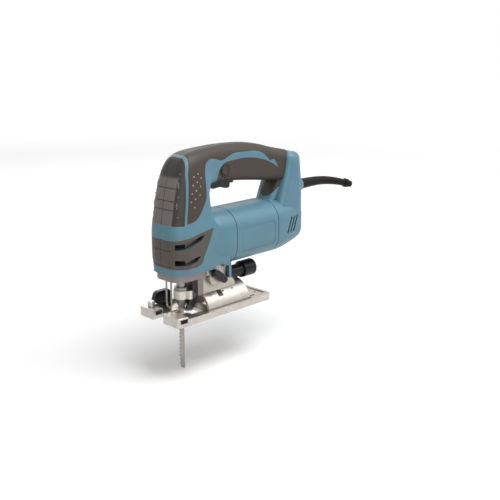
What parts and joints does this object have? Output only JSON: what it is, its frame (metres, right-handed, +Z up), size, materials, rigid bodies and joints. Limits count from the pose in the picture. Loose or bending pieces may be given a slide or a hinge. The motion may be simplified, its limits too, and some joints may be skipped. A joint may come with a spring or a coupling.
{
  "type": "jigsaw power tool",
  "caption": "Corded jigsaw with a closed D-shaped handle, soft overmoulded grips, exposed reciprocating blade with guide roller and a tilting cast base.",
  "frame": {"origin": "on the underside of the base, where the axis of the blade's stroke crosses it", "axes": "+Z up along the stroke, +X to the rear (cord) end, -Y the tool's left side with the orbit lever"},
  "size_m": [0.3569, 0.077, 0.2819],
  "materials": {
    "housing_plastic": "satin moulded polyamide",
    "grip_rubber": "soft matt overmould",
    "black_plastic": "semi-gloss moulded",
    "black_moulding": "matt moulded",
    "cast_aluminium": "die cast, satin",
    "base_aluminium": "cast, brushed sole",
    "turned_steel": "turned and ground",
    "blade_steel": "ground blade stock",
    "lamination_steel": "stacked sheet",
    "copper": "enamelled winding",
    "bronze": "sintered bush",
    "carbon": "pressed carbon",
    "cream_plastic": "moulded insert",
    "board": "laminate board",
    "cord_rubber": "matt rubber sleeve"
  },
  "bodies": {
    "body": {"handle_left": "housing_plastic", "handle_right": "housing_plastic", "grip_left": "grip_rubber", "grip_right": "grip_rubber", "tongue_left": "grip_rubber", "tongue_right": "grip_rubber", "front_pad_left": "grip_rubber", "front_pad_right": "grip_rubber", "nose_bumper_left": "grip_rubber", "nose_bumper_right": "grip_rubber", "motor_housing": "housing_plastic", "field_core": "lamination_steel", "field_coils": "copper", "front_bearing": "turned_steel", "rear_bearing": "turned_steel", "brush_plate": "black_moulding", "brush_holders": "bronze", "carbon_brushes": "carbon", "gear_housing": "cast_aluminium", "gear_stud": "turned_steel", "plunger_bushes": "bronze", "pivot_pin": "turned_steel", "wire_guard": "turned_steel", "dust_nozzle": "black_plastic", "clamp_plate": "turned_steel", "clamp_bolt": "turned_steel", "switch_body": "black_moulding", "speed_board": "board", "cord_clamp": "black_moulding", "housing_screws": "turned_steel", "cord_guard": "cord_rubber"},
    "armature": {"armature_shaft": "turned_steel", "armature_core": "lamination_steel", "armature_windings": "copper", "commutator": "copper", "fan": "black_moulding"},
    "crank": {"crank_gear": "turned_steel"},
    "stroke": {"plunger": "turned_steel", "blade_holder": "turned_steel", "blade": "blade_steel"},
    "clamp": {"clamp_sleeve": "turned_steel"},
    "fork": {"roller_fork": "turned_steel", "roller_pin": "turned_steel"},
    "guide_roller": {"roller": "turned_steel"},
    "orbit": {"orbit_lever": "black_plastic"},
    "switch_trigger": {"trigger": "black_plastic"},
    "lock": {"lock_button": "black_plastic"},
    "dial": {"speed_dial": "black_moulding"},
    "shoe": {"base": "base_aluminium", "splinter_guard": "cream_plastic", "fence_screw": "turned_steel"},
    "shoe_lever": {"base_lever": "black_plastic"}
  },
  "joints": [
    {"name": "armature_spin", "type": "hinge", "parent": "body", "child": "armature", "pos_m": [0.1, 0, 0.0915], "axis": [1, 0, 0], "continuous": true},
    {"name": "crank_spin", "type": "hinge", "parent": "body", "child": "crank", "pos_m": [0.0185, 0, 0.1155], "axis": [1, 0, 0], "continuous": true},
    {"name": "plunger_stroke", "type": "slide", "parent": "body", "child": "stroke", "axis": [0, 0, 1], "range_m": [0, 0.026]},
    {"name": "blade_clamp_turn", "type": "hinge", "parent": "stroke", "child": "clamp", "pos_m": [0, 0, 0.027], "axis": [0, 0, -1], "range_deg": [0, 60], "stiffness_Nm_per_rad": 0.05, "springref_deg": -28.65},
    {"name": "fork_swing", "type": "hinge", "parent": "body", "child": "fork", "pos_m": [0.015, 0, 0.025], "axis": [0, -1, 0], "range_deg": [0, 3]},
    {"name": "roller_spin", "type": "hinge", "parent": "fork", "child": "guide_roller", "pos_m": [0.0093, 0, 0.008], "axis": [0, 1, 0], "continuous": true},
    {"name": "orbit_setting", "type": "hinge", "parent": "body", "child": "orbit", "pos_m": [0.04, -0.024, 0.0475], "axis": [0, 1, 0], "range_deg": [0, 96]},
    {"name": "trigger_pull", "type": "hinge", "parent": "body", "child": "switch_trigger", "pos_m": [0.081, 0, 0.166], "axis": [0, 1, 0], "range_deg": [0, 8], "stiffness_Nm_per_rad": 0.6, "springref_deg": -17.19},
    {"name": "lock_press", "type": "slide", "parent": "body", "child": "lock", "axis": [0, 1, 0], "range_m": [0, 0.0025], "stiffness_N_per_m": 400, "springref_m": -0.004},
    {"name": "speed_turn", "type": "hinge", "parent": "body", "child": "dial", "pos_m": [0.196, 0, 0.1], "axis": [0, 1, 0], "range_deg": [0, 270]},
    {"name": "base_bevel", "type": "hinge", "parent": "body", "child": "shoe", "pos_m": [0.046, 0, 0], "axis": [1, 0, 0], "range_deg": [-45, 30]},
    {"name": "base_lever_swing", "type": "hinge", "parent": "shoe", "child": "shoe_lever", "pos_m": [0.003, 0.03, 0.012], "axis": [0, 0, -1], "range_deg": [0, 90]}
  ],
  "couplings": [
    {"joint": "crank_spin", "follows": "armature_spin", "ratio": -0.2}
  ]
}
